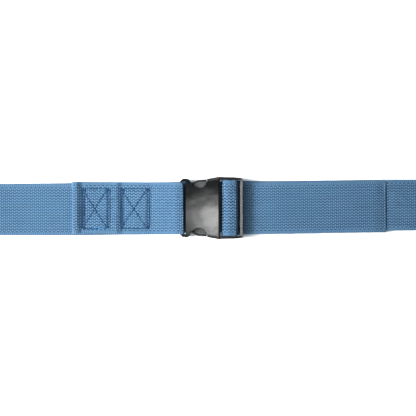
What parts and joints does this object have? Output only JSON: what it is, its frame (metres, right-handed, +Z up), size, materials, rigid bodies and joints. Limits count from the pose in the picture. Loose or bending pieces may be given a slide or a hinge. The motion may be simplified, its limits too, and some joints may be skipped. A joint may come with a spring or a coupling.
{
  "type": "luggage strap",
  "caption": "Wide woven luggage strap buckled into a loop: side-release buckle, sewn flap on one side and a ladder-lock adjusted tail on the other.",
  "frame": {"origin": "on the surface under the strap, below the middle of the closed buckle, midway between the loop's two ends", "axes": "+X along the strap from the sewn flap to the loose tail, +Y across it, +Z up out of the surface it lies on"},
  "size_m": [0.744, 0.0608, 0.0195],
  "materials": {
    "webbing": "mid-blue heavy woven polypropylene webbing with a zigzag weave and plain selvedges",
    "buckle": "black moulded acetal, polished but slightly wavy",
    "buckle_pads": "black moulded acetal with a grained grip on the pads",
    "thread": "blue sewing thread, a little darker than the webbing"
  },
  "bodies": {
    "receptacle": {"receptacle_body": "buckle", "webbing_receptacle_side": "webbing", "hem_stitching": "thread", "inner_stitching": "thread"},
    "plug": {"plug_frame": "buckle", "webbing_plug_side": "webbing"},
    "upper_prong": {"prong_upper": "buckle_pads"},
    "lower_prong": {"prong_lower": "buckle_pads"}
  },
  "joints": [
    {"name": "buckle_release", "type": "slide", "parent": "receptacle", "child": "plug", "axis": [1, 0, 0], "range_m": [0, 0.034], "deforming": ["prong_upper", "prong_lower"]},
    {"name": "upper_prong_squeeze", "type": "hinge", "parent": "plug", "child": "upper_prong", "pos_m": [0.0073, 0.0244, 0.008], "axis": [0, 0, 1], "range_deg": [0, 10], "stiffness_Nm_per_rad": 1.2},
    {"name": "lower_prong_squeeze", "type": "hinge", "parent": "plug", "child": "lower_prong", "pos_m": [0.0073, -0.0244, 0.008], "axis": [0, 0, -1], "range_deg": [0, 10], "stiffness_Nm_per_rad": 1.2}
  ]
}
